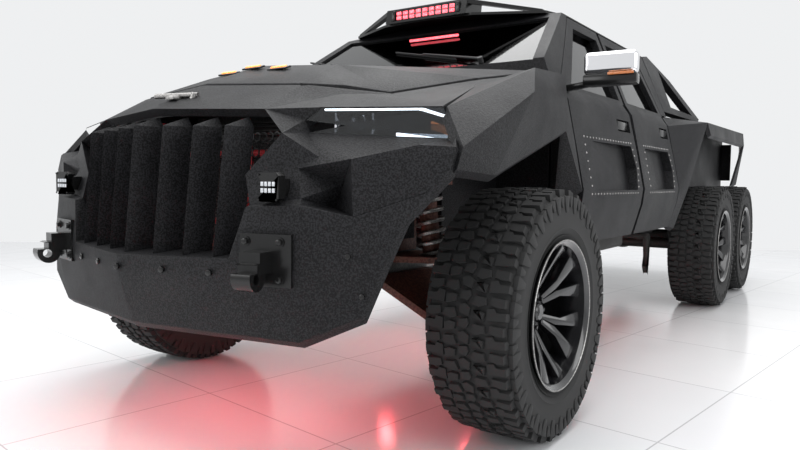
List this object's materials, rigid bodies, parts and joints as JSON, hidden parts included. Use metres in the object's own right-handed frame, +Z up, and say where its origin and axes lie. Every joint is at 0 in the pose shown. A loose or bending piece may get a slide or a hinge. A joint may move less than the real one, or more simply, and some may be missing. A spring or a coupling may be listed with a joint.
{
  "type": "six-wheeled off-road pickup truck",
  "caption": "Off-road crew-cab pickup truck with tandem rear axles, faceted armour body, bladed grille, opening doors, hood and tailgate, steered front wheels and an open load bed.",
  "frame": {"origin": "on the ground under the middle of the truck's overall box", "axes": "+Z up, the nose points along -Y, +X is the truck's left side"},
  "size_m": [2.544, 6.785, 2.0519],
  "materials": {
    "armour_paint": "coarse matt",
    "chassis_black": "satin",
    "chrome": "polished",
    "glass_tint": "polished",
    "gloss_black": "gloss",
    "lamp_clear": "polished",
    "lamp_red": "gloss",
    "mesh_black": "matt",
    "raw_steel": "machined",
    "seat_leather": "satin",
    "trim_plastic": "grained",
    "tyre_rubber": "matt",
    "wheel_black": "gloss"
  },
  "bodies": {
    "chassis": {"bed_box": "armour_paint", "bed_sides": "armour_paint", "cab_glass": "glass_tint", "cab_shell": "armour_paint", "dashboard": "trim_plastic", "drive_shafts": "chassis_black", "engine_block": "chassis_black", "exhaust": "chassis_black", "fenders": "armour_paint", "frame_rails": "chassis_black", "front_bumper": "armour_paint", "front_lamps": "lamp_clear", "front_suspension": "chassis_black", "fuel_tank": "chassis_black", "grille_mesh": "mesh_black", "grille_slats": "armour_paint", "leaf_springs": "chassis_black", "light_bar": "lamp_red", "nose_armour": "armour_paint", "rear_axles": "chassis_black", "rear_bumper": "armour_paint", "roof_visor": "gloss_black", "sail_panels": "armour_paint", "seats": "seat_leather", "tail_lamps": "lamp_red", "tow_hooks": "gloss_black"},
    "steer_left": {"knuckle_left": "raw_steel"},
    "steer_right": {"knuckle_right": "raw_steel"},
    "wheel_front_left": {"rim_front_left": "wheel_black", "tyre_front_left": "tyre_rubber"},
    "wheel_front_right": {"rim_front_right": "wheel_black", "tyre_front_right": "tyre_rubber"},
    "wheel_middle_left": {"rim_middle_left": "wheel_black", "tyre_middle_left": "tyre_rubber"},
    "wheel_middle_right": {"rim_middle_right": "wheel_black", "tyre_middle_right": "tyre_rubber"},
    "wheel_rear_left": {"rim_rear_left": "wheel_black", "tyre_rear_left": "tyre_rubber"},
    "wheel_rear_right": {"rim_rear_right": "wheel_black", "tyre_rear_right": "tyre_rubber"},
    "door_front_left": {"front_door_left": "armour_paint", "front_glass_left": "glass_tint", "mirror_left": "chrome"},
    "door_rear_left": {"rear_door_left": "armour_paint", "rear_glass_left": "glass_tint"},
    "door_front_right": {"front_door_right": "armour_paint", "front_glass_right": "glass_tint", "mirror_right": "chrome"},
    "door_rear_right": {"rear_door_right": "armour_paint", "rear_glass_right": "glass_tint"},
    "hood": {"hood": "armour_paint"},
    "tailgate": {"tailgate": "armour_paint"}
  },
  "joints": [
    {"name": "steering_left", "type": "hinge", "parent": "chassis", "child": "steer_left", "pos_m": [0.9, -2.2375, 0.5025], "axis": [0, 0, 1], "range_deg": [-30, 30]},
    {"name": "steering_right", "type": "hinge", "parent": "chassis", "child": "steer_right", "pos_m": [-0.9, -2.2375, 0.5025], "axis": [0, 0, 1], "range_deg": [-30, 30]},
    {"name": "spin_front_left", "type": "hinge", "parent": "steer_left", "child": "wheel_front_left", "pos_m": [1.037, -2.2375, 0.5025], "axis": [1, 0, 0], "continuous": true},
    {"name": "spin_front_right", "type": "hinge", "parent": "steer_right", "child": "wheel_front_right", "pos_m": [-1.037, -2.2375, 0.5025], "axis": [1, 0, 0], "continuous": true},
    {"name": "spin_middle_left", "type": "hinge", "parent": "chassis", "child": "wheel_middle_left", "pos_m": [1.01, 1.4525, 0.5025], "axis": [1, 0, 0], "continuous": true},
    {"name": "spin_middle_right", "type": "hinge", "parent": "chassis", "child": "wheel_middle_right", "pos_m": [-1.01, 1.4525, 0.5025], "axis": [1, 0, 0], "continuous": true},
    {"name": "spin_rear_left", "type": "hinge", "parent": "chassis", "child": "wheel_rear_left", "pos_m": [1.01, 2.5625, 0.5025], "axis": [1, 0, 0], "continuous": true},
    {"name": "spin_rear_right", "type": "hinge", "parent": "chassis", "child": "wheel_rear_right", "pos_m": [-1.01, 2.5625, 0.5025], "axis": [1, 0, 0], "continuous": true},
    {"name": "front_door_hinge_left", "type": "hinge", "parent": "chassis", "child": "door_front_left", "pos_m": [1.043, -1.5825, 1], "axis": [0, 0, -1], "range_deg": [0, 65]},
    {"name": "rear_door_hinge_left", "type": "hinge", "parent": "chassis", "child": "door_rear_left", "pos_m": [1.068, -0.5975, 1], "axis": [0, 0, -1], "range_deg": [0, 65]},
    {"name": "front_door_hinge_right", "type": "hinge", "parent": "chassis", "child": "door_front_right", "pos_m": [-1.043, -1.5825, 1], "axis": [0, 0, 1], "range_deg": [0, 65]},
    {"name": "rear_door_hinge_right", "type": "hinge", "parent": "chassis", "child": "door_rear_right", "pos_m": [-1.068, -0.5975, 1], "axis": [0, 0, 1], "range_deg": [0, 65]},
    {"name": "hood_hinge", "type": "hinge", "parent": "chassis", "child": "hood", "pos_m": [0, -1.7575, 1.586], "axis": [-1, 0, 0], "range_deg": [0, 50]},
    {"name": "tailgate_hinge", "type": "hinge", "parent": "chassis", "child": "tailgate", "pos_m": [0, 3.2225, 0.989], "axis": [-1, 0, 0], "range_deg": [0, 90]}
  ],
  "couplings": [
    {"joint": "steering_right", "follows": "steering_left", "ratio": 1}
  ]
}
